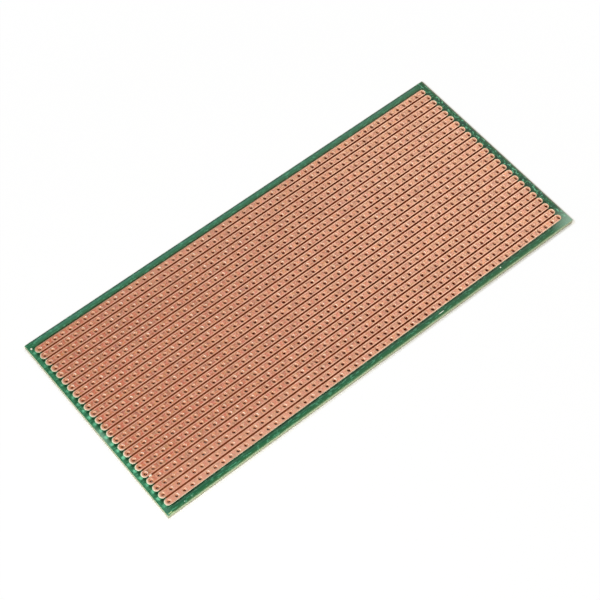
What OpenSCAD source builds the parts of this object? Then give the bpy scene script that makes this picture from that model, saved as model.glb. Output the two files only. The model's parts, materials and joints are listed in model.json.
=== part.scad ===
// Prototype board: single-sided stripboard, laid with its copper side up.
//
// A sheet of laminate is drilled through on a square grid. Foil strips run along X, one for
// each row of holes, and a film of solder mask covers the rest of that side: the border
// all round and a narrow web between each strip and the next. Every window in the mask is
// a little larger than its strip, so a rim of bare laminate shows round the foil.
//
// Millimetres. The origin is the middle of the bare face that the board rests on, X runs
// along the strips and Z points out of the copper side.

/* [Board] */
// Length of the board, along the strips
board_l = 145; // [20:1:300]
// Width of the board, across the strips
board_w = 65; // [20:1:140]
// Thickness of the bare laminate
board_t = 1.6; // [0.8:0.1:3.2]

/* [Holes] */
// Distance between neighbouring holes, along and across the strips
pitch = 2.54; // [2.54:0.01:5.08]
// Diameter of every drilled hole
hole_d = 1; // [0.6:0.05:1.2]

/* [Copper] */
// Clear distance between one strip and the next
strip_gap = 0.54; // [0.4:0.01:0.8]
// How far a strip runs past the middle of its end holes
strip_reach = 0.95; // [0.9:0.01:1.2]
// Thickness of the foil
copper_t = 0.035; // [0.018:0.001:0.105]
// How far the etched and printed pattern sits from the drilled holes, along the strips
pattern_shift = -0.2; // [-0.25:0.05:0.25]

/* [Solder mask] */
// Thickness of the film on the laminate
mask_t = 0.02; // [0.01:0.005:0.03]
// Rim of bare laminate along each side of a strip
rim_side = 0.08; // [0.02:0.01:0.15]
// Rim of bare laminate at each end of a strip
rim_end = 0.15; // [0.05:0.05:0.5]

/* [Hidden] */
// A hole's middle stays at least one pitch from the edge, which sets how many holes fit.
holes_per_strip = floor((board_l - 2 * pitch) / pitch) + 1;
strip_count = floor((board_w - 2 * pitch) / pitch) + 1;
grid_l = (holes_per_strip - 1) * pitch;
grid_w = (strip_count - 1) * pitch;

strip_l = grid_l + 2 * strip_reach;
strip_w = pitch - strip_gap;
window_l = strip_l + 2 * rim_end;
window_w = strip_w + 2 * rim_side;

laminate_colour = [0.90, 0.88, 0.76];
mask_colour = [0.09, 0.38, 0.24];
copper_colour = [0.83, 0.54, 0.42];

$fn = 48;

function two_digits(n) = str(n < 10 ? "0" : "", n);
STRIP_NAMES = [for (n = [1:strip_count]) str("copper_strip_", two_digits(n))];

// Distance across the strips from the middle of the board to strip n, counted from 0
function row_y(n) = n * pitch - grid_w / 2;

// Flat strip with full-radius ends, centred on the etched pattern
module round_ended(length, width) {
    run = length - width;
    translate([pattern_shift, 0]) {
        square([run, width], center = true);
        for (side = [-1, 1])
            translate([side * run / 2, 0])
                circle(d = width);
    }
}

// Outlines of one row of holes, centred on the board
module hole_row() {
    for (n = [0:holes_per_strip - 1])
        translate([n * pitch - grid_l / 2, 0])
            circle(d = hole_d);
}

// Drilled sheet that everything else is bonded to
module laminate() {
    color(laminate_colour)
        linear_extrude(board_t)
            difference() {
                square([board_l, board_w], center = true);
                for (n = [0:strip_count - 1])
                    translate([0, row_y(n)])
                        hole_row();
            }
}

// Film over the laminate, with one window for each strip
module solder_mask() {
    color(mask_colour)
        translate([0, 0, board_t])
            linear_extrude(mask_t)
                difference() {
                    square([board_l, board_w], center = true);
                    for (n = [0:strip_count - 1])
                        translate([0, row_y(n)])
                            round_ended(window_l, window_w);
                }
}

// Foil strip n, counted from 0, with its row of holes
module copper_strip(n) {
    color(copper_colour)
        translate([0, row_y(n), board_t])
            linear_extrude(copper_t)
                difference() {
                    round_ended(strip_l, strip_w);
                    hole_row();
                }
}

laminate();
solder_mask();
for (n = [0:strip_count - 1])
    copper_strip(n);
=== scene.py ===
# %% [markdown]
# # A prototype board, from bare solids to finished surfaces
# The object is a bare stripboard: a sheet of laminate drilled on a square grid, a film of green
# solder mask, and 24 copper strips that join the holes into rows. It lies with its copper up.
# The frame brings in the 26 solids at their real size. They fix every size and place here, so
# this script measures them first, and then gives each one its fine shape and its finish.

# %% Load the frame
import json
import math

import bmesh
import bpy
from mathutils import Matrix, Vector


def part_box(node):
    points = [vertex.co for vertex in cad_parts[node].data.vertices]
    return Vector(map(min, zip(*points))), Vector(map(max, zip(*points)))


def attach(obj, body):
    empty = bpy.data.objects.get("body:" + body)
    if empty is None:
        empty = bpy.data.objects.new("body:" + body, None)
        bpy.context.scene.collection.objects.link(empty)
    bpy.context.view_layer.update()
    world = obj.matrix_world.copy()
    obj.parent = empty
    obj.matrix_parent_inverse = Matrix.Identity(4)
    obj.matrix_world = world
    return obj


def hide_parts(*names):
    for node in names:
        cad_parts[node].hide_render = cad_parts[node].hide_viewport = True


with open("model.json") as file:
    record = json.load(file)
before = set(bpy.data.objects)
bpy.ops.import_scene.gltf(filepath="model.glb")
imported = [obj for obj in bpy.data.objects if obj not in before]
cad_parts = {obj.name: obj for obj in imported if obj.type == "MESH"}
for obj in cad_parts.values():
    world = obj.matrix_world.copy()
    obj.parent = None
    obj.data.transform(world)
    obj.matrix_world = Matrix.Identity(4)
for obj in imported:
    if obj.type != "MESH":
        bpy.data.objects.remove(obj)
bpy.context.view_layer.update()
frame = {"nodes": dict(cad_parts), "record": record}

# %% [markdown]
# ## Measure the board
# Everything repeats on the grid of holes, so a few sizes give all the places: the distance from
# one strip to the next, the first hole, which the record names as a mount, and the heights of
# the layers. Only the pale rim round each strip can't be read from a box, so it is a value here.

# %% Sizes that the pieces share
MM = 0.001
RIM_SIDE = 0.08 * MM
RIM_END = 0.15 * MM
STRIPS = sorted(name for name in frame["nodes"] if name.startswith("copper_strip_"))
sheet_low, sheet_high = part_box("laminate")
strip_low, strip_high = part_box(STRIPS[0])
film_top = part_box("solder_mask")[1].z
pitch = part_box(STRIPS[1])[0].y - strip_low.y

lead_hole = next(m for m in frame["record"]["mounts"] if m["name"] == "lead_hole")
hole_radius = lead_hole["dims"]["r_mm"] * MM
first_x, first_y = lead_hole["pos_m"][:2]
holes_per_strip = round(-2 * first_x / pitch) + 1

foil_radius = (strip_high.y - strip_low.y) / 2
window_radius = foil_radius + RIM_SIDE
window_left = strip_low.x - RIM_END
window_right = strip_high.x + RIM_END
print(f"{len(STRIPS)} strips of {holes_per_strip} holes, pitch {pitch / MM:.2f} mm")

# %% [markdown]
# ## Camera
# The camera is made first. It looks down on the board from the front left with a long lens, so
# the strips run up to the right and hardly converge. Its aim is a point on the copper close to
# the middle of the board. The small roll is the tilt of a camera that wasn't quite level.

# %% The camera
CAMERA_AZIMUTH = math.radians(-39.905)
CAMERA_ELEVATION = math.radians(58.864)
CAMERA_ROLL = math.radians(0.525)
CAMERA_DISTANCE = 457.07 * MM
CAMERA_AIM = Vector((-5.02 * MM, -3.78 * MM, strip_high.z))
CAMERA_LENS = 98.8
NEAREST_SEEN = 10 * MM

level = math.cos(CAMERA_ELEVATION)
looking = Vector((-math.sin(CAMERA_AZIMUTH) * level, math.cos(CAMERA_AZIMUTH) * level,
                  -math.sin(CAMERA_ELEVATION)))
turn = looking.to_track_quat("-Z", "Y").to_matrix() @ Matrix.Rotation(CAMERA_ROLL, 3, "Z")
bpy.ops.object.camera_add(location=CAMERA_AIM - looking * CAMERA_DISTANCE, rotation=turn.to_euler())
camera = bpy.context.object
camera.data.lens = CAMERA_LENS
camera.data.clip_start = NEAREST_SEEN
bpy.context.scene.camera = camera
print("camera at", [round(v / MM, 1) for v in camera.location], "mm")

# %% [markdown]
# ## Small helpers
# All the flat pieces start in the same way: loops of bare edges are drawn in edit mode, and the
# space between two loops is filled with the bridge tool. Edges that carry no face yet count as
# loose, so the two new loops can always be selected together.

# %% Start a piece, and select parts of it by their place
TINY = 0.0005 * MM
SHARP = math.radians(60)


def start_piece(name):
    """A new empty mesh object at the origin, open in edit mode."""
    piece = bpy.data.objects.new(name, bpy.data.meshes.new(name))
    bpy.context.scene.collection.objects.link(piece)
    bpy.ops.object.select_all(action="DESELECT")
    piece.select_set(True)
    bpy.context.view_layer.objects.active = piece
    bpy.ops.object.mode_set(mode="EDIT")
    return piece


def select_where(test, mode):
    """Selects only the edges or faces of the edited mesh that pass a test."""
    bpy.ops.mesh.select_mode(type=mode)
    bpy.ops.mesh.select_all(action="DESELECT")
    mesh = bmesh.from_edit_mesh(bpy.context.object.data)
    for part in {"EDGE": mesh.edges, "FACE": mesh.faces}[mode]:
        if test(part):
            part.select_set(True)
    mesh.select_flush_mode()
    bmesh.update_edit_mesh(bpy.context.object.data)


def edges_where(test):
    """Selects only the edges whose two ends both pass a test on their place."""
    select_where(lambda edge: all(test(v.co) for v in edge.verts), "EDGE")


def near(a, b):
    """Tells whether two measures are the same."""
    return abs(a - b) < TINY


def on_outline(place, x, y):
    """Tells whether a place is level with a side of the rectangle that reaches out to x and y."""
    return near(abs(place.x), x) or near(abs(place.y), y)


def is_sharp(edge):
    """Tells whether the mesh has a hard corner at this edge."""
    return len(edge.link_faces) == 2 and edge.calc_face_angle() > SHARP


# %% Draw bare outlines
HOLE_SIDES = 24
END_STEPS = 24


def rectangle(x_low, x_high, y_low, y_high, z):
    """Adds four bare edges."""
    middle = ((x_low + x_high) / 2, (y_low + y_high) / 2, z)
    bpy.ops.mesh.primitive_plane_add(size=1, location=middle)
    bpy.ops.transform.resize(value=(x_high - x_low, y_high - y_low, 1), center_override=middle)
    bpy.ops.mesh.delete(type="ONLY_FACE")


def circle(x, y, z, radius, sides=HOLE_SIDES):
    """Adds a bare circle, such as the edge of a hole."""
    bpy.ops.mesh.primitive_circle_add(
        vertices=sides, radius=radius, fill_type="NOTHING", location=(x, y, z))


def half_round(x, y, z, radius, side, steps=END_STEPS):
    """Adds a bare half circle: side -1 bulges to the left, 1 to the right."""
    circle(x, y, z, radius, 2 * steps)
    mesh = bmesh.from_edit_mesh(bpy.context.object.data)
    for vert in mesh.verts:
        if vert.select and (vert.co.x - x) * side > -TINY:
            vert.select_set(False)
    mesh.select_flush_mode()
    bpy.ops.mesh.delete(type="VERT")


def drop_edge(x, z, y_low, y_high):
    """Deletes the bare edge that lies across the board at x, between two places."""
    select_where(lambda e: not e.link_faces and all(
        near(v.co.x, x) and near(v.co.z, z) and y_low - TINY < v.co.y < y_high + TINY
        for v in e.verts), "EDGE")
    bpy.ops.mesh.delete(type="EDGE")


# %% Fill, pull and repeat


def bridge_loose(**settings):
    """Joins the bare loops where they meet, and fills between the two that are left."""
    bpy.ops.mesh.select_mode(type="EDGE")
    bpy.ops.mesh.select_all(action="DESELECT")
    bpy.ops.mesh.select_loose()
    bpy.ops.mesh.remove_doubles(threshold=TINY)
    bpy.ops.mesh.select_all(action="DESELECT")
    bpy.ops.mesh.select_loose()
    bpy.ops.mesh.bridge_edge_loops(**settings)


def pull_edges(x, y, z):
    """Extrudes the selected edges by a distance in each direction."""
    bpy.ops.mesh.extrude_edges_move(TRANSFORM_OT_translate={"value": (x, y, z)})


def repeat(piece, count, step):
    """Copies the mesh in a row with the Array modifier, and welds each copy to the next."""
    array = piece.modifiers.new("repeat", "ARRAY")
    array.count = count
    array.use_relative_offset = False
    array.use_constant_offset = True
    array.constant_offset_displace = step
    array.use_merge_vertices = True
    array.merge_threshold = TINY
    bpy.ops.object.modifier_apply(modifier=array.name)


# %% Finish a mesh
SMOOTH_BELOW = math.radians(35)


def face_up():
    """Turns every face of an open flat sheet to look up."""
    bpy.ops.object.mode_set(mode="EDIT")
    select_where(lambda face: face.normal.z < 0, "FACE")
    bpy.ops.mesh.flip_normals()
    bpy.ops.object.mode_set(mode="OBJECT")


def face_out():
    """Welds the edited mesh and turns every face of it outwards."""
    bpy.ops.mesh.select_mode(type="VERT")
    bpy.ops.mesh.select_all(action="SELECT")
    bpy.ops.mesh.remove_doubles(threshold=TINY)
    bpy.ops.mesh.normals_make_consistent(inside=False)


def finish_mesh(piece):
    """Welds what meets, turns every face outwards and rounds off the shading."""
    bpy.ops.object.mode_set(mode="EDIT")
    face_out()
    bpy.ops.object.mode_set(mode="OBJECT")
    bpy.ops.object.shade_smooth_by_angle(angle=SMOOTH_BELOW)
    triangles = sum(len(face.vertices) - 2 for face in piece.data.polygons)
    print(f"{piece.name}: {len(piece.data.polygons)} faces, {triangles} triangles")


# %% [markdown]
# ## The drilled laminate
# The real sheet is glass cloth set in resin, drilled right through and cut to size. A boolean
# with 1344 cutters would leave long thin triangles, so one square of the grid is modelled: a
# face with a round hole, the wall of the hole, and the same face below. The Array modifier
# repeats it in both directions and welds the squares into one sheet. Its outline is then
# extruded to the edge of the board, and the cut edges get a narrow broken corner.

# %% One square of the grid
laminate = start_piece("laminate_sheet")
half = pitch / 2
for z in (sheet_low.z, sheet_high.z):
    rectangle(first_x - half, first_x + half, first_y - half, first_y + half, z)
    circle(first_x, first_y, z, hole_radius)
    bridge_loose()
edges_where(lambda p: near(p.z, sheet_high.z)
            and math.hypot(p.x - first_x, p.y - first_y) < hole_radius + TINY)
pull_edges(0, 0, sheet_low.z - sheet_high.z)
face_out()
bpy.ops.object.mode_set(mode="OBJECT")
print("one square:", len(laminate.data.polygons), "faces")

# %% The whole sheet
EDGE_BREAK = 0.05 * MM

repeat(laminate, holes_per_strip, (pitch, 0, 0))
repeat(laminate, len(STRIPS), (0, pitch, 0))
grid_x = -first_x + half
grid_y = -first_y + half

bpy.ops.object.mode_set(mode="EDIT")
edges_where(lambda p: on_outline(p, grid_x, grid_y))
bpy.ops.mesh.select_non_manifold(extend=False, use_wire=False, use_multi_face=False,
                                 use_non_contiguous=False, use_verts=False)
bpy.ops.mesh.extrude_edges_move()
bpy.ops.transform.resize(value=(sheet_high.x / grid_x, sheet_high.y / grid_y, 1),
                         center_override=(0, 0, 0))
edges_where(lambda p: near(p.z, sheet_high.z) and on_outline(p, sheet_high.x, sheet_high.y))
pull_edges(0, 0, sheet_low.z - sheet_high.z)
face_out()
select_where(lambda e: is_sharp(e) and all(
    on_outline(v.co, sheet_high.x, sheet_high.y) for v in e.verts), "EDGE")
bpy.ops.mesh.bevel(offset=EDGE_BREAK, segments=2, affect="EDGES")
finish_mesh(laminate)

# %% [markdown]
# ## The copper strips
# Each strip is foil with round ends and a row of holes. The pattern was etched a little to the
# left of the drilled holes, so there is more copper past the first hole than past the last. One
# strip is drawn flat from cells, like the laminate: an inner cell that repeats, and one cell for
# each end. An end cell is filled in two halves, from the round end to the half of the hole that
# faces it, and from the straight part to the other half, so that no face folds over the hole.
# Solidify gives the sheet the thickness of the foil, and a bevel takes the hard corner off.

# %% One strip, flat
strip = start_piece("foil_strip")
rectangle(first_x + half, first_x + half + pitch, strip_low.y, strip_high.y, sheet_high.z)
circle(first_x + pitch, first_y, sheet_high.z, hole_radius)
bridge_loose()
bpy.ops.object.mode_set(mode="OBJECT")
repeat(strip, holes_per_strip - 2, (pitch, 0, 0))
bpy.ops.object.mode_set(mode="EDIT")
for side, tip in ((-1, strip_low.x), (1, strip_high.x)):
    middle = tip - side * foil_radius
    seam = side * (-first_x - half)
    half_round(middle, first_y, sheet_high.z, foil_radius, side)
    half_round(side * -first_x, first_y, sheet_high.z, hole_radius, side, HOLE_SIDES // 2)
    bridge_loose()
    rectangle(min(middle, seam), max(middle, seam), strip_low.y, strip_high.y, sheet_high.z)
    drop_edge(middle, sheet_high.z, strip_low.y, strip_high.y)
    half_round(side * -first_x, first_y, sheet_high.z, hole_radius, -side, HOLE_SIDES // 2)
    bridge_loose()
finish_mesh(strip)
face_up()

# %% Does its area come out right?
drawn = sum(face.area for face in strip.data.polygons)
hole_area = HOLE_SIDES / 2 * math.sin(2 * math.pi / HOLE_SIDES) * hole_radius ** 2
round_area = END_STEPS * math.sin(math.pi / END_STEPS) * foil_radius ** 2
straight = strip_high.x - strip_low.x - 2 * foil_radius
expected = straight * 2 * foil_radius + round_area - holes_per_strip * hole_area
print(f"drawn area {drawn / MM ** 2:.3f} mm2, expected {expected / MM ** 2:.3f} mm2")

# %% Thickness and soft corners
FOIL_CORNER = 0.012 * MM

solidify = strip.modifiers.new("foil", "SOLIDIFY")
solidify.thickness = strip_high.z - sheet_high.z
solidify.offset = 1
bpy.ops.object.modifier_apply(modifier=solidify.name)
bpy.ops.object.mode_set(mode="EDIT")
face_out()
select_where(lambda e: is_sharp(e) and all(
    v.co.z > (sheet_high.z + strip_high.z) / 2 for v in e.verts), "EDGE")
bpy.ops.mesh.bevel(offset=FOIL_CORNER, segments=1, affect="EDGES")
finish_mesh(strip)
print("strip from", round(min(v.co.z for v in strip.data.vertices) / MM, 4),
      "to", round(max(v.co.z for v in strip.data.vertices) / MM, 4), "mm")

# %% All the strips
foil = []
for number, name in enumerate(STRIPS):
    piece = strip.copy()
    piece.data = strip.data.copy()
    piece.name = piece.data.name = name.replace("copper_strip", "foil_strip")
    bpy.context.scene.collection.objects.link(piece)
    piece.data.transform(Matrix.Translation((0, number * pitch, 0)))
    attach(piece, "root")
    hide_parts(name)
    foil.append(piece)
bpy.data.objects.remove(strip)
print(len(foil), "strips")

# %% [markdown]
# ## The solder mask
# The mask is a printed film, so its windows have soft rounded lips and not sharp walls. One
# row of it is modelled, from the left edge of the board to the right, with one window. Four
# loops make the lip, each a little wider and higher than the one before, and the last is
# bridged to the outline of the row with several cuts, which keep its faces short. The
# row repeats for each strip, and what is left between two windows is the narrow web.

# %% Outlines of one row of the film
EDGE_STEPS = 10
SIDE_STEPS = 7

left_middle = window_left + window_radius
right_middle = window_right - window_radius


def rails(y_low, y_high, z):
    """Adds the two bare long edges between the middles of the window's ends."""
    rectangle(left_middle, right_middle, y_low, y_high, z)
    drop_edge(left_middle, z, y_low, y_high)
    drop_edge(right_middle, z, y_low, y_high)


def window_loop(extra, z):
    """Adds the bare outline of the window, wider by extra all round."""
    radius = window_radius + extra
    half_round(left_middle, first_y, z, radius, -1)
    half_round(right_middle, first_y, z, radius, 1)
    rails(first_y - radius, first_y + radius, z)


def row_outline(z):
    """Adds the bare outline of one row, with as many points as the window's loop has."""
    low, high = first_y - half, first_y + half
    for edge, middle in ((sheet_low.x, left_middle), (sheet_high.x, right_middle)):
        left, right = sorted((edge, middle))
        rectangle(left, right, low, high, z)
        drop_edge(middle, z, low, high)
        for steps, across in ((EDGE_STEPS, True), (SIDE_STEPS, False)):
            select_where(lambda e: not e.link_faces
                         and near(e.verts[0].co.x, e.verts[1].co.x) == across
                         and all(near(v.co.z, z) and near(abs(v.co.y - first_y), half)
                                 and left - TINY < v.co.x < right + TINY for v in e.verts), "EDGE")
            bpy.ops.mesh.subdivide(number_cuts=steps - 1)
    rails(low, high, z)


# %% One row of the film
FILM_CUTS = 5
LIP = ((0, 0), (0, 0.6), (0.012 * MM, 0.92), (0.035 * MM, 1))

film = start_piece("solder_mask_film")
loops = [(extra, sheet_high.z + share * (film_top - sheet_high.z)) for extra, share in LIP]
for inner, outer in zip(loops, loops[1:]):
    window_loop(*inner)
    window_loop(*outer)
    bridge_loose()
window_loop(*loops[-1])
row_outline(film_top)
bridge_loose(number_cuts=FILM_CUTS, interpolation="LINEAR")
window_loop(*loops[0])
row_outline(sheet_high.z)
bridge_loose()
finish_mesh(film)

# %% The whole film
repeat(film, len(STRIPS), (0, pitch, 0))
bpy.ops.object.mode_set(mode="EDIT")
for side in (-1, 1):
    edges_where(lambda p: near(p.y, side * grid_y))
    pull_edges(0, side * (sheet_high.y - grid_y), 0)
edges_where(lambda p: near(p.z, film_top) and on_outline(p, sheet_high.x, sheet_high.y))
pull_edges(0, 0, sheet_high.z - film_top)
finish_mesh(film)

# %% [markdown]
# ## Groups of nodes that the finishes share
# Each finish below is one Principled shader, and what makes it look real is small and uneven:
# a tone that drifts, an edge that is rubbed, a speck. Most of these are needed in more than one
# finish, so each is a node group with named inputs and outputs, built once and placed with its
# own values. All of them work in millimetres from the middle of the board, which a Mapping
# node makes from the object's coordinates, so a pattern runs on from one piece to the next.

# %% Short forms for making nodes and groups


def add_node(tree, kind, inputs=None, **settings):
    """Adds a node, changes its settings, and fills its inputs with values or with links."""
    made = tree.nodes.new("ShaderNode" + kind)
    for key, value in settings.items():
        setattr(made, key, value)
    for key, value in (inputs or {}).items():
        if isinstance(value, bpy.types.NodeSocket):
            tree.links.new(value, made.inputs[key])
        else:
            made.inputs[key].default_value = value
    return made


def new_group(name, inputs, outputs):
    """Makes an empty node group, and returns what comes into it and what it puts out too."""
    group = bpy.data.node_groups.new(name, "ShaderNodeTree")
    for label, kind, value in inputs:
        socket = group.interface.new_socket(label, in_out="INPUT", socket_type="NodeSocket" + kind)
        socket.default_value = value
    for label in outputs:
        group.interface.new_socket(label, in_out="OUTPUT", socket_type="NodeSocketFloat")
    return group, group.nodes.new("NodeGroupInput").outputs, group.nodes.new("NodeGroupOutput").inputs


def use_group(tree, group, **inputs):
    """Places a group in a material, with its own values."""
    return add_node(tree, "Group", inputs, node_tree=group).outputs


# %% Short forms for masks and places


def ramp(tree, value, start, end, low=0, high=1):
    """Low up to the start, high from the end on, and a straight line between them."""
    return add_node(tree, "MapRange", {"Value": value, "From Min": start, "From Max": end,
                                       "To Min": low, "To Max": high}).outputs[0]


def spread(tree, share, low, high=1):
    """Goes from the low value to the high one as a share goes from 0 to 1."""
    return ramp(tree, share, 0, 1, low, high)


def reckon(tree, operation, first, second=0):
    """One step of arithmetic."""
    return add_node(tree, "Math", {0: first, 1: second}, operation=operation).outputs[0]


def times(tree, *values):
    """Multiplies masks with each other."""
    product = values[0]
    for value in values[1:]:
        product = reckon(tree, "MULTIPLY", product, value)
    return product


def largest(tree, *values):
    """The strongest of several masks."""
    most = values[0]
    for value in values[1:]:
        most = reckon(tree, "MAXIMUM", most, value)
    return most


def vector(tree, operation, *values):
    """One step of arithmetic with places. A length and a dot product are plain numbers."""
    made = add_node(tree, "VectorMath", dict(enumerate(values)), operation=operation)
    return made.outputs["Value" if operation in ("LENGTH", "DOT_PRODUCT") else "Vector"]


# %% Short forms for colours


def blend_colours(tree, share, first, second):
    """Goes from the first colour to the second as the share goes from 0 to 1."""
    colours = {key: c if isinstance(c, bpy.types.NodeSocket) else (*c, 1)
               for key, c in ((6, first), (7, second))}
    return add_node(tree, "Mix", {0: share, **colours}, data_type="RGBA").outputs[2]


def paint_over(tree, colour, paint, *masks):
    """Lays a paint over the colour, as strong as its masks are when multiplied."""
    return blend_colours(tree, times(tree, *masks), colour, paint)


def colour_stops(tree, value, stops):
    """Runs through a row of colours as the value goes from 0 to 1."""
    made = add_node(tree, "ValToRGB", {0: value})
    row = made.color_ramp.elements
    row.remove(row[1])
    row[0].position, row[0].color = stops[0][0], (*stops[0][1], 1)
    for position, colour in stops[1:]:
        row.new(position).color = (*colour, 1)
    return made.outputs[0]


# %% Cloudy tone: a soft uneven value from 0 to 1
cloud, given, result = new_group("cloudy tone", [
    ("Place", "Vector", (0, 0, 0)), ("Stretch", "Vector", (1, 1, 1)), ("Scale", "Float", 1),
    ("Low", "Float", 0.35), ("High", "Float", 0.65)], ["Tone"])
stretched = vector(cloud, "MULTIPLY", given["Place"], given["Stretch"])
noise = add_node(cloud, "TexNoise", {"Vector": stretched, "Detail": 3, "Scale": given["Scale"]})
cloud.links.new(ramp(cloud, noise.outputs[0], given["Low"], given["High"]), result["Tone"])


def cloudy(tree, place, scale, low=0.35, high=0.65, stretch=(1, 1, 1)):
    """Places a cloudy tone. Low and high are the values of the noise that give 0 and 1."""
    return use_group(tree, cloud, Place=place, Stretch=stretch, Scale=scale,
                     Low=low, High=high)["Tone"]


# %% Place on the grid: how far the nearest hole is, and on which side of it a place lies
# The first direction points to the side of each hole that gets a painted highlight. The x offset
# below is the middle of the painted shade on the hole's near rim.
LIT_SIDE = (0.82, 0.57, 0)
RIM_SHADE_X = -0.10

grid, given, result = new_group(
    "place on the grid", [("Place", "Vector", (0, 0, 0))],
    ["From hole", "Across", "To burr side", "To far side", "From dent"])
step = pitch / 2 / MM
from_first = vector(grid, "SUBTRACT", given["Place"], (first_x / MM, first_y / MM, 0))
wrapped = vector(grid, "WRAP", from_first, (step, step, step), (-step, -step, -step))
flat = vector(grid, "MULTIPLY", wrapped, (1, 1, 0))
around = add_node(grid, "SeparateXYZ", {0: wrapped}).outputs
from_rim_shade = reckon(grid, "ADD", around["X"], -RIM_SHADE_X)
for label, value in (("From hole", vector(grid, "LENGTH", flat)),
                     ("Across", reckon(grid, "ABSOLUTE", around["Y"])),
                     ("To burr side", vector(grid, "DOT_PRODUCT", flat, LIT_SIDE)),
                     ("To far side", around["Y"]),
                     ("From dent", reckon(grid, "ABSOLUTE", from_rim_shade))):
    grid.links.new(value, result[label])

# %% Soft band: 1 at one value, and 0 a width away from it to either side
band, given, result = new_group("soft band", [
    ("Value", "Float", 0), ("Middle", "Float", 0), ("Width", "Float", 1)], ["Mask"])
off = reckon(band, "ABSOLUTE", reckon(band, "SUBTRACT", given["Value"], given["Middle"]))
band.links.new(ramp(band, off, given["Width"], 0), result["Mask"])


def band_at(tree, value, middle, width):
    """Places a soft band."""
    return use_group(tree, band, Value=value, Middle=middle, Width=width)["Mask"]


# %% Spot: a small mark at one place on the board
spot, given, result = new_group("spot", [
    ("Place", "Vector", (0, 0, 0)), ("Middle", "Vector", (0, 0, 0)),
    ("Size", "Vector", (1, 1, 1)), ("Softness", "Float", 0.5)], ["Mask"])
offset = vector(spot, "SUBTRACT", given["Place"], given["Middle"])
scaled = vector(spot, "DIVIDE", offset, given["Size"])
distance = vector(spot, "LENGTH", vector(spot, "MULTIPLY", scaled, (1, 1, 0)))
outside = ramp(spot, distance, reckon(spot, "SUBTRACT", 1, given["Softness"]), 1)
spot.links.new(reckon(spot, "SUBTRACT", 1, outside), result["Mask"])


def spot_at(tree, place, middle, size, softness):
    """Places a spot, with its middle and its half lengths in mm."""
    return use_group(tree, spot, Place=place, Middle=(*middle, 0), Size=(*size, 1),
                     Softness=softness)["Mask"]


# %% Glass weave: the over and under of a plain cloth
YARN_ALONG = 0.78
YARN_ACROSS = 0.58

weave, given, result = new_group("glass weave", [("Place", "Vector", (0, 0, 0))], ["Height"])
around = add_node(weave, "SeparateXYZ", {0: given["Place"]}).outputs
along = reckon(weave, "SINE", reckon(weave, "MULTIPLY", around["X"], math.pi / YARN_ALONG))
across = reckon(weave, "SINE", reckon(weave, "MULTIPLY", around["Y"], math.pi / YARN_ACROSS))
height = add_node(weave, "Math", {0: times(weave, along, across), 1: 0.5, 2: 0.5},
                  operation="MULTIPLY_ADD")
weave.links.new(height.outputs[0], result["Height"])
print("groups:", [group.name for group in bpy.data.node_groups])

# %% A new finish
MARK_SOFTNESS = 0.4


def new_finish(name, **values):
    """A material with its plain values set, and the place on the board in mm, whole and split."""
    material = bpy.data.materials.new(name)
    material.use_nodes = True
    tree = material.node_tree
    shader = tree.nodes["Principled BSDF"]
    for key, value in values.items():
        shader.inputs[key.replace("_", " ")].default_value = value
    coords = add_node(tree, "TexCoord")
    place = add_node(tree, "Mapping", {"Vector": coords.outputs["Object"],
                                       "Scale": (1 / MM, 1 / MM, 1 / MM)}).outputs[0]
    return material, tree, shader, place, add_node(tree, "SeparateXYZ", {0: place}).outputs


def set_bump(tree, shader, height, depth):
    """Makes a fine relief. Depth is what a height of 1 stands for, in metres."""
    bump = add_node(tree, "Bump", {"Height": height, "Distance": depth, "Strength": 1})
    tree.links.new(bump.outputs[0], shader.inputs["Normal"])


def add_marks(tree, place, colour, marks, paint):
    """Paints a few small marks, each with its own middle and half lengths in mm."""
    for middle, size in marks:
        mark = spot_at(tree, place, middle, size, MARK_SOFTNESS)
        colour = paint_over(tree, colour, paint, mark)
    return colour


def tell(material, done):
    """Says how far a finish has come."""
    print(f"{material.name}, {done}: {len(material.node_tree.nodes)} nodes")


# %% [markdown]
# ## The copper
# Bare copper foil on a new board is matt and pinkish, under a thin coat of flux lacquer that
# keeps it bright. Metal alone would go dark wherever there is nothing to reflect, so the shader
# is only partly metallic, and the lacquer is the shader's coat. The tone drifts between a deep
# and a paler copper with some olive patches. In all the finishes, the limits of a ramp on a
# place are in mm, from a hole, from the middle of a row or from the middle of the board.

# %% Copper: the tone of the foil
COPPER_DEEP = (0.30, 0.050, 0.015)
COPPER_ORANGE = (0.70, 0.215, 0.008)
COPPER_PINK = (0.68, 0.186, 0.145)
COPPER_OLIVE = (0.46, 0.192, 0.050)

copper, tree, shader, place, (x, y, z) = new_finish(
    "bare_copper", Metallic=0.35, Coat_Roughness=0.35, Coat_IOR=1.9)
drift = cloudy(tree, place, 0.45, low=0.42, high=0.58)
fine = cloudy(tree, place, 2.2, low=0.42, high=0.58)
hue = cloudy(tree, place, 1.7, low=0.44, high=0.56)
patch = cloudy(tree, place, 1.1, low=0.50, high=0.60, stretch=(0.8, 1.1, 1))
tone = add_node(tree, "Mix", {0: 0.5, 2: drift, 3: fine}).outputs[0]
pale = blend_colours(tree, hue, COPPER_ORANGE, COPPER_PINK)
colour = blend_colours(tree, tone, COPPER_DEEP, pale)
colour = paint_over(tree, colour, COPPER_OLIVE, patch, 0.75)
tell(copper, "tone")

# %% [markdown]
# Round the holes the foil is duller, where flux has dried, and between them it is often redder,
# most at the left end. Fine dark pits and bright grains lie over it all, and they show most at
# the right. Each of these is a cloudy tone of its own scale, so that none follows another.

# %% Copper: redder places, pits and bright grains
COPPER_RED = (0.60, 0.100, 0.030)
COPPER_BRIGHT = (0.89, 0.52, 0.365)
PIT = (0.14, 0.036, 0.014)

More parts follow.
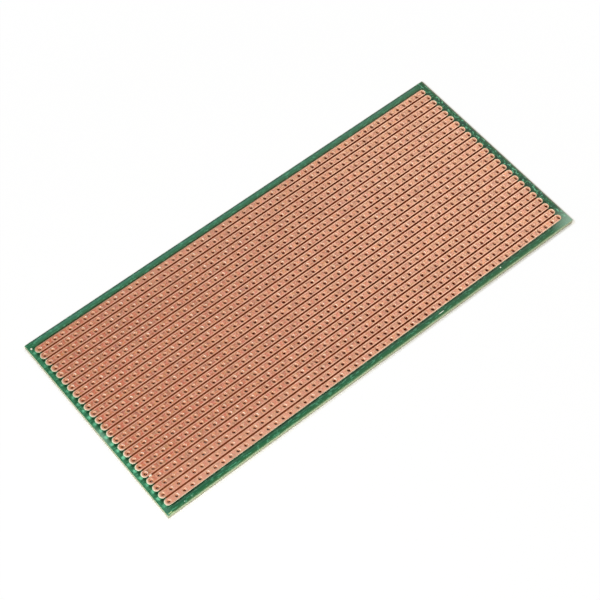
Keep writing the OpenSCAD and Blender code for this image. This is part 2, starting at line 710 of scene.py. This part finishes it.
spots = use_group(tree, grid, Place=place)
leftness = ramp(tree, x, 45, -65)
halo = ramp(tree, spots["From hole"], 1.05, 0.60)
colour = paint_over(tree, colour, COPPER_OLIVE, halo, 0.35)
redder = cloudy(tree, place, 0.95, low=0.44, high=0.56, stretch=(0.8, 1.1, 1))
between_holes = ramp(tree, spots["From hole"], 0.65, 1.0)
colour = paint_over(tree, colour, COPPER_RED, redder, between_holes,
                    spread(tree, leftness, 0.25, 0.9))
pits = cloudy(tree, place, 2.6, low=0.50, high=0.66, stretch=(0.8, 1.2, 1))
colour = paint_over(tree, colour, PIT, pits, spread(tree, leftness, 0.80, 0.60))
grains = cloudy(tree, place, 2.9, low=0.54, high=0.64, stretch=(0.9, 1.1, 1))
colour = paint_over(tree, colour, COPPER_BRIGHT, grains, spread(tree, leftness, 0.6, 0.3))
tell(copper, "grain")

# %% [markdown]
# The long edges of a strip carry a painted highlight, and its middle is a little brighter. Two wide
# soft patches of painted light, at the near left corner and at the far side, brighten it too. All
# these painted highlights are gathered in one mask, in this step and in the next two, and painted
# once.

# %% Copper: painted highlights on the edges and two patches of painted light
foil_half = foil_radius / MM

uneven = spread(tree, cloudy(tree, place, 0.5, low=0.35, high=0.6), 0.45)
edge = times(tree, ramp(tree, spots["Across"], foil_half - 0.34, foil_half - 0.16), uneven,
             spread(tree, leftness, 1.05, 0.75))
middle = ramp(tree, spots["Across"], 0.35, 0.05)
near_left_light = spot_at(tree, place, (-52, -38), (75, 20), softness=1)
far_side_light = spot_at(tree, place, (-20, 38), (55, 20), softness=1)
painted_highlights = largest(tree, edge, times(tree, middle, 0.10), times(tree, near_left_light, 0.72),
                 times(tree, far_side_light, 0.35))
tell(copper, "rubbed edges")

# %% [markdown]
# Round the mouth of each hole a painted highlight lies on the lit side, towards the right, and it is
# the brightest thing on the board. On the other side there is only a thin painted bright line,
# further out. On the near side the foil is painted dark, as painted shade. The highlights and the
# shade are strongest at the left end.

# %% Copper: painted highlights and painted shade round the holes
RIM_SHADE_COLOUR = (0.10, 0.013, 0.003)

ring = spread(tree, band_at(tree, spots["From hole"], 0.56, 0.21), 0, 2)
crescent_highlight = times(tree, ramp(tree, spots["To burr side"], 0.10, 0.45),
             ramp(tree, spots["To far side"], 0.66, 0.36), uneven, spread(tree, leftness, 0.6))
outer_highlight = times(tree, band_at(tree, spots["From hole"], 0.82, 0.22),
                   ramp(tree, spots["To burr side"], 0.05, -0.40), leftness)
painted_highlights = largest(tree, painted_highlights, times(tree, crescent_highlight, ring, 0.74), times(tree, outer_highlight, 0.5))
reach = reckon(tree, "ADD", spots["From hole"], spread(tree, leftness, -0.22, 0.02))
rim_shade = times(tree, ramp(tree, reach, 0.74, 0.54), ramp(tree, spots["To far side"], -0.08, -0.36),
               ramp(tree, spots["From dent"], 0.44, 0.24), spread(tree, leftness, 1, 0.6))
# Paints the shade on the near rim of each hole.
colour = paint_over(tree, colour, RIM_SHADE_COLOUR, rim_shade)
tell(copper, "burrs")

# %% [markdown]
# The round ends of the strips are brightened as well. At the left the whole tip past the first hole
# carries a painted highlight, and at the right only the rim past the last hole is paler. Here and
# there a painted highlight at a hole or a left tip is so bright that it is nearly white, as a painted
# glint.

# %% Copper: round ends and painted glints
GLINT_WHITE = (1.0, 0.84, 0.71)
left_end = left_middle / MM
right_end = right_middle / MM

tip = times(tree, ramp(tree, spots["From hole"], 0.83, 0.98),
            ramp(tree, x, left_end + 0.4, left_end - 0.1), ramp(tree, y, -5, 25, 0.6, 0.25))
past_last = reckon(tree, "SUBTRACT", x, right_end)
from_end = add_node(tree, "CombineXYZ", {"X": past_last, "Y": spots["Across"]}).outputs[0]
rim = times(tree, ramp(tree, vector(tree, "LENGTH", from_end), foil_half - 0.26, foil_half - 0.12),
            ramp(tree, past_last, -0.1, 0.2))
painted_highlights = largest(tree, painted_highlights, tip, times(tree, rim, 0.85))
# Paints all the gathered highlights in a paler copper.
colour = paint_over(tree, colour, COPPER_BRIGHT, reckon(tree, "MINIMUM", painted_highlights, 1))
hole_glint = times(tree, crescent_highlight, ring, cloudy(tree, place, 1.1, low=0.52, high=0.58))
lit_tip = times(tree, tip, ramp(tree, spots["To burr side"], 0.1, -0.5))
hole_glint = largest(tree, reckon(tree, "MINIMUM", hole_glint, 1), lit_tip)
# Paints the nearly white glints.
colour = paint_over(tree, colour, GLINT_WHITE, hole_glint)
tell(copper, "round ends")

# %% [markdown]
# A thin dark brown line follows the edges of the strips, most at the right, and along the far edge of
# the last strip. The brown line, the painted shade and the pits take the shine from the lacquer. Two
# pale splashes lie on the strips. Last comes the brushing of the foil, which runs along the strip: it
# is too fine for geometry, so it is a cloudy tone with a long stretch, in the roughness and the bump.

# %% Copper: brown edge line, lacquer and brushing
EDGE_BROWN = (0.26, 0.050, 0.010)
SPLASH = (0.88, 0.82, 0.66)
SPLASHES = (((-69.2, -20.35), (0.50, 0.42)), ((-11.85, 21.59), (0.35, 0.25)))
BRUSH_DEPTH = 0.001 * MM
outer_row = -first_y / MM

brown_edge_line = times(tree, ramp(tree, spots["Across"], foil_half - 0.08, foil_half - 0.03),
                  spread(tree, leftness, 0.9, 0.2))
last_edge = ramp(tree, y, outer_row + foil_half - 0.25, outer_row + foil_half - 0.02)
brown_edge_line = largest(tree, brown_edge_line, times(tree, last_edge, 0.85))
colour = paint_over(tree, colour, EDGE_BROWN, brown_edge_line)
colour = add_marks(tree, place, colour, SPLASHES, SPLASH)
tree.links.new(colour, shader.inputs["Base Color"])
dull = largest(tree, rim_shade, brown_edge_line, times(tree, pits, 0.3))
tree.links.new(spread(tree, dull, 0.8, 0.1), shader.inputs["Coat Weight"])
brushing = cloudy(tree, place, 9, low=0.3, high=0.7, stretch=(0.12, 1, 1))
rough = largest(tree, spread(tree, brushing, 0.40, 0.52), times(tree, rim_shade, 0.85))
tree.links.new(rough, shader.inputs["Roughness"])
set_bump(tree, shader, brushing, BRUSH_DEPTH)
for piece in foil:
    piece.data.materials.append(copper)
tell(copper, "done")

# %% [markdown]
# ## The solder mask
# The mask is a green lacquer with a soft gloss. It is printed, so it isn't even: along the two long
# borders it lies dark beside the copper, then pale and bluish, which is painted sheen, then green,
# and at the near edge of the board it thins out yellow. On the far border the painted sheen is wider
# and paler, and a line of painted shade runs along the outer edge. A row of colours across the border
# does this best.

# %% Green mask: the long borders
GREEN_THICK = (0.008, 0.088, 0.034)
GREEN_THIN = (0.022, 0.140, 0.062)
GREEN_PALE = (0.145, 0.520, 0.310)
# The pale bluish stop on the near border is painted sheen.
NEAR_BORDER_WITH_SHEEN = ((0.00, (0.002, 0.012, 0.004)), (0.12, (0.003, 0.010, 0.003)),
               (0.22, (0.014, 0.054, 0.026)), (0.33, (0.034, 0.124, 0.070)),
               (0.46, (0.008, 0.088, 0.040)), (0.60, (0.012, 0.112, 0.046)),
               (0.74, (0.020, 0.118, 0.044)), (0.82, (0.028, 0.108, 0.036)),
               (0.90, (0.060, 0.150, 0.062)), (1.00, (0.240, 0.380, 0.190)))
# The paler stops in the middle of the far border are painted sheen, and the dark last two are painted
# shade along the outer edge.
FAR_BORDER_WITH_SHEEN_AND_SHADE = ((0.00, (0.020, 0.016, 0.004)), (0.10, (0.018, 0.024, 0.006)),
              (0.19, (0.032, 0.088, 0.034)), (0.28, (0.046, 0.146, 0.070)),
              (0.48, (0.030, 0.150, 0.082)), (0.66, (0.054, 0.196, 0.124)),
              (0.80, (0.054, 0.175, 0.118)), (0.90, (0.028, 0.080, 0.060)),
              (1.00, (0.022, 0.066, 0.055)))
inner_edge = outer_row + window_radius / MM
outer_edge = sheet_high.y / MM

mask, tree, shader, place, (x, y, z) = new_finish(
    "green_mask", Roughness=0.38, Specular_IOR_Level=0.18)
drift = cloudy(tree, place, 0.6)
colour = blend_colours(tree, drift, GREEN_THICK, GREEN_THIN)
in_run = times(tree, ramp(tree, x, left_end - 1, left_end + 1),
               ramp(tree, x, right_end + 1, right_end - 1))
for side, stops in ((-1, NEAR_BORDER_WITH_SHEEN), (1, FAR_BORDER_WITH_SHEEN_AND_SHADE)):
    border = colour_stops(tree, ramp(tree, y, side * inner_edge, side * outer_edge), stops)
    on_it = ramp(tree, y, side * (inner_edge - 0.03), side * (inner_edge + 0.01))
    colour = paint_over(tree, colour, border, on_it, in_run)
blotch = cloudy(tree, place, 0.7, low=0.45, high=0.6, stretch=(0.5, 1.6, 1))
colour = paint_over(tree, colour, GREEN_THIN, blotch, 0.35)
flecks = cloudy(tree, place, 1.5, low=0.57, high=0.64, stretch=(0.5, 2.2, 1))
colour = paint_over(tree, colour, GREEN_PALE, flecks, 0.35)
tell(mask, "long borders")

# %% [markdown]
# At the two short ends the mask flows round the tips of the strips. At the left a small painted glint
# lies on it in front of each tip, brightest towards the near side. At the right it has run, and has
# dark pools and pale streaks. It is darkest in the notches between the tips.

# %% Green mask: the left end
GREEN_LEFT = (0.050, 0.240, 0.130)
GLINT_X = -71.62
GLINT_LOWER = 0.3

in_grid = ramp(tree, reckon(tree, "ABSOLUTE", y), inner_edge + 0.4, inner_edge)
ripple = cloudy(tree, place, 1.6, low=0.38, high=0.58, stretch=(1.2, 0.8, 1))
outer_left = ramp(tree, x, left_end - 1.2, left_end - 2.0)
colour = paint_over(tree, colour, GREEN_LEFT, outer_left, ripple, 0.55)
lower = vector(tree, "ADD", place, (0, GLINT_LOWER, 0))
beside_tip = ramp(tree, use_group(tree, grid, Place=lower)["Across"], 0.70, 0.20)
uneven = spread(tree, cloudy(tree, place, 0.45, low=0.35, high=0.55), 0.4)
tip_glint = times(tree, beside_tip, band_at(tree, x, GLINT_X, 0.62), uneven,
             ramp(tree, y, 18, -8, 0.35, 1), spread(tree, ripple, 0.45), in_grid)
# Paints the glint in front of each left tip.
colour = paint_over(tree, colour, GREEN_PALE, ramp(tree, tip_glint, 0, 0.5))
tell(mask, "left end")

# %% Green mask: the right end and the notches
GREEN_POOL = (0.010, 0.050, 0.050)
NOTCH = (0.002, 0.030, 0.010)
EDGE_SHADE_GREY = (0.17, 0.165, 0.125)
window_start = window_left / MM
window_end = window_right / MM

on_right = ramp(tree, x, right_end + 0.3, window_end)
colour = paint_over(tree, colour, GREEN_THICK, on_right, 0.5)
pools = cloudy(tree, place, 0.8, low=0.46, high=0.58, stretch=(0.8, 0.9, 1))
colour = paint_over(tree, colour, GREEN_POOL, pools, on_right, 0.6)
streaks = cloudy(tree, place, 1.7, low=0.55, high=0.62, stretch=(1, 0.7, 1))
colour = paint_over(tree, colour, GREEN_PALE, streaks, on_right, 0.9)
between_tips = ramp(tree, use_group(tree, grid, Place=place)["Across"], 0.75, 1.05)
notch = times(tree, between_tips, ramp(tree, x, window_start - 0.35, window_start),
              ramp(tree, x, window_end + 0.35, window_end), in_grid)
colour = paint_over(tree, colour, NOTCH, notch, 0.9)
# A grey line of painted shade runs along the right edge of the board.
sheet_end = sheet_high.x / MM
last_edge = ramp(tree, x, sheet_end - 0.55, sheet_end - 0.05)
colour = paint_over(tree, colour, EDGE_SHADE_GREY, last_edge, 0.9)
tell(mask, "right end")

# %% [markdown]
# A painted glare lies on the corner at the right front, two smaller ones lie at the left edge, and
# there is a dull place at the left end. A few chips show the pale laminate, and by the near left
# corner there are two fine scratches.

# %% Green mask: painted glare, chips and scratches
GLARE_AND_SPECK_GREEN = (0.31, 0.50, 0.39)
DULL = (0.055, 0.160, 0.120)
# The first three soft places are painted glare, and the last is a dull patch.
SOFT_PLACES = (((74, -33), (9, 7), 1.0, GLARE_AND_SPECK_GREEN), ((-73.2, -3.5), (2.2, 5), 0.7, GLARE_AND_SPECK_GREEN),
               ((-73.2, -32.9), (1.8, 1.5), 0.6, GLARE_AND_SPECK_GREEN), ((-71.7, -31.0), (1.3, 0.9), 0.7, DULL))
BARE_SPOT = (0.80, 0.86, 0.72)
CHIPS = (((-71.6, 30.5), (0.32, 0.32)), ((45.4, -31.2), (0.30, 0.22)), ((22.7, -31.6), (1.2, 0.13)))
SCRATCH = (0.42, 0.58, 0.26)
SCRATCHES = (((-71.5, -32.0), (0.8, 0.16)), ((-71.0, -32.4), (1.0, 0.14)))
SPECKS = (((-66.7, -31.8), (0.20, 0.17)), ((-64.3, -31.8), (0.16, 0.15)))
PEEL_DEPTH = 0.004 * MM

for middle, size, strength, paint in SOFT_PLACES:
    soft = spot_at(tree, place, middle, size, softness=0.9)
    colour = paint_over(tree, colour, paint, soft, strength)
for marks, paint in ((CHIPS, BARE_SPOT), (SCRATCHES, SCRATCH), (SPECKS, GLARE_AND_SPECK_GREEN)):
    colour = add_marks(tree, place, colour, marks, paint)
tree.links.new(colour, shader.inputs["Base Color"])
set_bump(tree, shader, cloudy(tree, place, 1.6, low=0.2, high=0.8), PEEL_DEPTH)
film.data.materials.append(mask)
tell(mask, "done")

# %% [markdown]
# ## The webs
# The web between two strips is painted dark brown, nearly black beside the copper. It is a finish of
# its own on the faces of the film that lie between two strips, and towards the ends of the strips it
# clears to the green of the mask.

# %% Web finish
WEB_DARK = (0.050, 0.013, 0.001)
WEB_BROWN = (0.135, 0.020, 0.002)
WEB_LEFT = (0.150, 0.040, 0.013)

web, tree, shader, place, (x, y, z) = new_finish("web_crust", Roughness=0.6, Specular_IOR_Level=0.02)
drift = cloudy(tree, place, 0.6, low=0.40, high=0.62, stretch=(0.7, 1.5, 1))
colour = blend_colours(tree, drift, WEB_DARK, WEB_BROWN)
leftness = ramp(tree, x, 10, -60)
colour = paint_over(tree, colour, WEB_LEFT, leftness, 0.7)
to_ends = largest(tree, ramp(tree, x, left_end + 0.8, left_end),
                  ramp(tree, x, right_end - 0.8, right_end))
colour = paint_over(tree, colour, NOTCH, to_ends)
colour = add_marks(tree, place, colour, SPLASHES[:1], SPLASH)
tree.links.new(colour, shader.inputs["Base Color"])
film.data.materials.append(web)
tell(web, "done")

# %% The faces that are web
for face in film.data.polygons:
    inside = left_middle < face.center.x < right_middle and abs(face.center.y) < -first_y
    face.material_index = 1 if inside else 0
print("web faces:", sum(face.material_index for face in film.data.polygons))

# %% [markdown]
# ## The laminate
# The sheet is cream with a little green in it. Its sawn edges show the plies of glass cloth as faint
# lines, greener near the copper side and browner near the table, and the bare side shows the weave of
# the last ply. Round the strips only a thin rim of it is seen: cream at the left ends and by the near
# border, greenish at the right ends and by the far border, and dark brown between two strips.

# %% Laminate: sawn edges and the bare side
SAWN_TOP = (0.50, 0.58, 0.37)
SAWN_LOW = (0.50, 0.46, 0.34)
PLY_LINE = (0.24, 0.23, 0.14)
LAMINATE_CREAM = (0.70, 0.69, 0.48)
LAMINATE_PALE = (0.82, 0.80, 0.60)
PLIES = 8
thickness = sheet_high.z / MM

sheet, tree, shader, place, (x, y, z) = new_finish("laminate", Roughness=0.7, Specular_IOR_Level=0.15)
cream = blend_colours(tree, cloudy(tree, place, 0.5), LAMINATE_CREAM, LAMINATE_PALE)
cloth = use_group(tree, weave, Place=place)["Height"]
cream = paint_over(tree, cream, SAWN_TOP, cloth, 0.25)
wavy = cloudy(tree, place, 0.7, low=0.2, high=0.8, stretch=(1, 1, 3))
level_in_sheet = reckon(tree, "ADD", z, times(tree, wavy, 0.25))
sawn = blend_colours(tree, ramp(tree, level_in_sheet, 0.35, 0.95), SAWN_LOW, SAWN_TOP)
ply = times(tree, level_in_sheet, 2 * math.pi * PLIES / thickness)
sawn = paint_over(tree, sawn, PLY_LINE, ramp(tree, reckon(tree, "SINE", ply), 0.2, 1.6))
out_x = reckon(tree, "ABSOLUTE", x)
out_y = reckon(tree, "ABSOLUTE", y)
on_side = largest(tree, ramp(tree, out_x, sheet_end - 0.06, sheet_end - 0.04),
                  ramp(tree, out_y, outer_edge - 0.06, outer_edge - 0.04))
colour = blend_colours(tree, on_side, cream, sawn)
tell(sheet, "sawn edges")

# %% Laminate: rims round the strips
RIM_BROWN = (0.28, 0.048, 0.010)
RIM_GREEN = (0.26, 0.24, 0.13)
WEAVE_DEPTH = 0.006 * MM

top = ramp(tree, z, thickness - 0.03, thickness - 0.01)
between_strips = times(tree, ramp(tree, out_y, outer_row + 0.9, outer_row + 0.7),
                ramp(tree, x, left_end - 0.3, left_end + 0.3),
                ramp(tree, x, right_end + 0.3, right_end - 0.3))
colour = paint_over(tree, colour, RIM_BROWN, top, between_strips)
greened = largest(tree, ramp(tree, x, right_end, right_end + 0.3),
                  ramp(tree, y, outer_row, outer_row + 0.5))
colour = paint_over(tree, colour, RIM_GREEN, top, greened)
tree.links.new(colour, shader.inputs["Base Color"])
set_bump(tree, shader, cloth, WEAVE_DEPTH)
laminate.data.materials.append(sheet)
tell(sheet, "done")

# %% [markdown]
# ## The walls of the holes
# A drill leaves a rough wall, and its light and shade are painted on it: pale at the mouth, where
# light gets in, red brown below, and dark at the foot, since hardly any light comes back out of a
# hole 1 mm across and 1.6 mm deep. The walls that face the light are painted pale further down, and a
# cloudy tone gives each hole a slightly different depth. The brown is darkest in the middle of the
# board.

# %% Wall finish
WALL_MOUTH = (0.97, 0.61, 0.41)
WALL_DEEP = ((0.00, (0.84, 0.31, 0.085)), (0.50, (0.34, 0.034, 0.002)), (1.00, (0.46, 0.080, 0.006)))
WALL_FOOT = (0.20, 0.050, 0.015)

wall, tree, shader, place, (x, y, z) = new_finish(
    "drilled_wall", Roughness=0.8, Specular_IOR_Level=0.02)
spots = use_group(tree, grid, Place=place)
depth = reckon(tree, "SUBTRACT", thickness, z)
depth = reckon(tree, "ADD", depth, times(tree, cloudy(tree, place, 0.6), 0.5))
middle_part = times(tree, ramp(tree, x, -70, -5), ramp(tree, x, 75, 15))
depth = reckon(tree, "ADD", depth, times(tree, middle_part, 0.03))
depth = reckon(tree, "SUBTRACT", depth, times(tree, ramp(tree, x, 20, 60), 0.18))
facing = times(tree, ramp(tree, spots["To burr side"], 0.05, 0.50), ramp(tree, x, 0, -45))
facing = largest(tree, facing, ramp(tree, spots["To far side"], 0.34, 0.47))
depth = reckon(tree, "SUBTRACT", depth, times(tree, facing, 0.55))
deep_tone = colour_stops(tree, ramp(tree, x, -68, 68), WALL_DEEP)
# Paints the light and shade down the wall of each hole.
colour = blend_colours(tree, ramp(tree, depth, 0.74, 0.92), WALL_MOUTH, deep_tone)
colour = paint_over(tree, colour, WALL_FOOT, ramp(tree, z, 0.6, 0.25))
tree.links.new(colour, shader.inputs["Base Color"])
laminate.data.materials.append(wall)
tell(wall, "done")

# %% The faces that are wall
for face in laminate.data.polygons:
    upright = abs(face.normal.z) < 0.5
    in_grid = abs(face.center.x) < grid_x and abs(face.center.y) < grid_y
    face.material_index = 1 if upright and in_grid else 0
print("wall faces:", sum(face.material_index for face in laminate.data.polygons))

for piece, node, slot in ((laminate, "laminate", "laminate"), (film, "solder_mask", "solder_mask")):
    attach(piece, "root")
    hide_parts(node)

# %% [markdown]
# ## Floor
# The board lies on a white table that runs out of the picture without a horizon. The floor
# glows white for the camera and in reflections. Close to the board and under it the glow gives
# way to a real white surface, which is dark under the board and keeps its thin contact shadow.
# From below, the floor lets everything through, so that the bare side can be looked at too. It
# also lets through the rays that leave the bare side itself, or that side would be black.

# %% The floor
FLOOR_SIZE = 4
FLOOR_GAP = 0.005 * MM
FLOOR_WHITE = (0.95, 0.94, 0.92, 1)
FLOOR_GLOW = 0.97
GLOW_NEAR = 0.09
GLOW_FAR = 0.16
SHADE_MIDDLE = (0.4 * MM, 0.2 * MM, 0)
SHADE_NEAR = 0.55 * MM
SHADE_FAR = 1.00 * MM

bpy.ops.mesh.primitive_plane_add(size=FLOOR_SIZE, location=(0, 0, sheet_low.z - FLOOR_GAP))
floor = bpy.context.object
floor.name = "floor"
floor_mat = bpy.data.materials.new("white_table")
floor_mat.use_nodes = True
tree = floor_mat.node_tree
floor_shader = tree.nodes["Principled BSDF"]
floor_shader.inputs["Base Color"].default_value = FLOOR_WHITE
floor_shader.inputs["Roughness"].default_value = 0.9
floor.data.materials.append(floor_mat)

# %% Where the floor glows
on_floor = add_node(tree, "TexCoord").outputs["Object"]
shifted = vector(tree, "ABSOLUTE", vector(tree, "SUBTRACT", on_floor, SHADE_MIDDLE))
past = vector(tree, "SUBTRACT", shifted, (sheet_high.x, sheet_high.y, 0))
gap = vector(tree, "LENGTH", vector(tree, "MAXIMUM", past, (0, 0, 0)))
away = vector(tree, "LENGTH", on_floor)
path = add_node(tree, "LightPath").outputs
share = times(tree, largest(tree, path["Is Camera Ray"], path["Is Glossy Ray"],
                            path["Is Transmission Ray"]),
              ramp(tree, gap, SHADE_NEAR, SHADE_FAR),
              ramp(tree, away, GLOW_NEAR, GLOW_FAR, FLOOR_GLOW, 1))
lit = add_node(tree, "MixShader", {0: share, 1: floor_shader.outputs[0],
                                   2: add_node(tree, "Emission").outputs[0]})
leaves_board = reckon(tree, "LESS_THAN", path["Ray Length"], 4 * FLOOR_GAP)
from_below = add_node(tree, "NewGeometry").outputs["Backfacing"]
mixed = add_node(tree, "MixShader", {0: largest(tree, from_below, leaves_board), 1: lit.outputs[0],
                                     2: add_node(tree, "BsdfTransparent").outputs[0]})
tree.links.new(mixed.outputs[0], tree.nodes["Material Output"].inputs["Surface"])
tell(floor_mat, "done")

# %% [markdown]
# ## Light
# A pale room gives most of the light. A soft box close to the left front corner throws light
# into the holes from one side, and a second one behind on the right stands where the camera
# sees it mirrored in the right end of the strips, which gives the copper its pale sheen there.
# The camera itself sees the room as white, and so does metal that mirrors its lower part.

# %% The room
ROOM_LIGHT = 0.45
WHITE = (1, 1, 1, 1)

world = bpy.data.worlds.new("studio")
bpy.context.scene.world = world
world.use_nodes = True
tree = world.node_tree
room = tree.nodes["Background"]
room.inputs["Color"].default_value = WHITE
room.inputs["Strength"].default_value = ROOM_LIGHT
backdrop = add_node(tree, "Background", {"Color": WHITE, "Strength": 1})
path = add_node(tree, "LightPath").outputs
direction = add_node(tree, "SeparateXYZ", {0: add_node(tree, "TexCoord").outputs["Generated"]})
mirrored = times(tree, largest(tree, path["Is Glossy Ray"], path["Is Transmission Ray"]),
                 ramp(tree, direction.outputs["Z"], 0.4, 0.15))
seen_room = add_node(tree, "MixShader", {0: largest(tree, path["Is Camera Ray"], mirrored),
                                         1: room.outputs[0], 2: backdrop.outputs[0]})
tree.links.new(seen_room.outputs[0], tree.nodes["World Output"].inputs["Surface"])
print("room:", len(tree.nodes), "nodes")

# %% The lamps


def soft_box(name, place, size, power, colour=(1, 1, 1)):
    """A square lamp that faces the middle of the board, with its place and size in metres."""
    bpy.ops.object.light_add(type="AREA", location=place,
                             rotation=Vector(place).to_track_quat("Z", "Y").to_euler())
    light = bpy.context.object
    light.name = name
    light.data.shape = "SQUARE"
    light.data.size = size
    light.data.energy = power
    light.data.color = colour
    print(f"{name}: {size} m wide, {power} W")


soft_box("key", (-0.20, -0.12, 0.20), size=0.15, power=0.58)
soft_box("sheen", (0.37, 0.185, 0.46), size=0.36, power=1.12, colour=(1, 0.91, 0.72))

# %% The view transform
bpy.context.scene.view_settings.view_transform = "Standard"
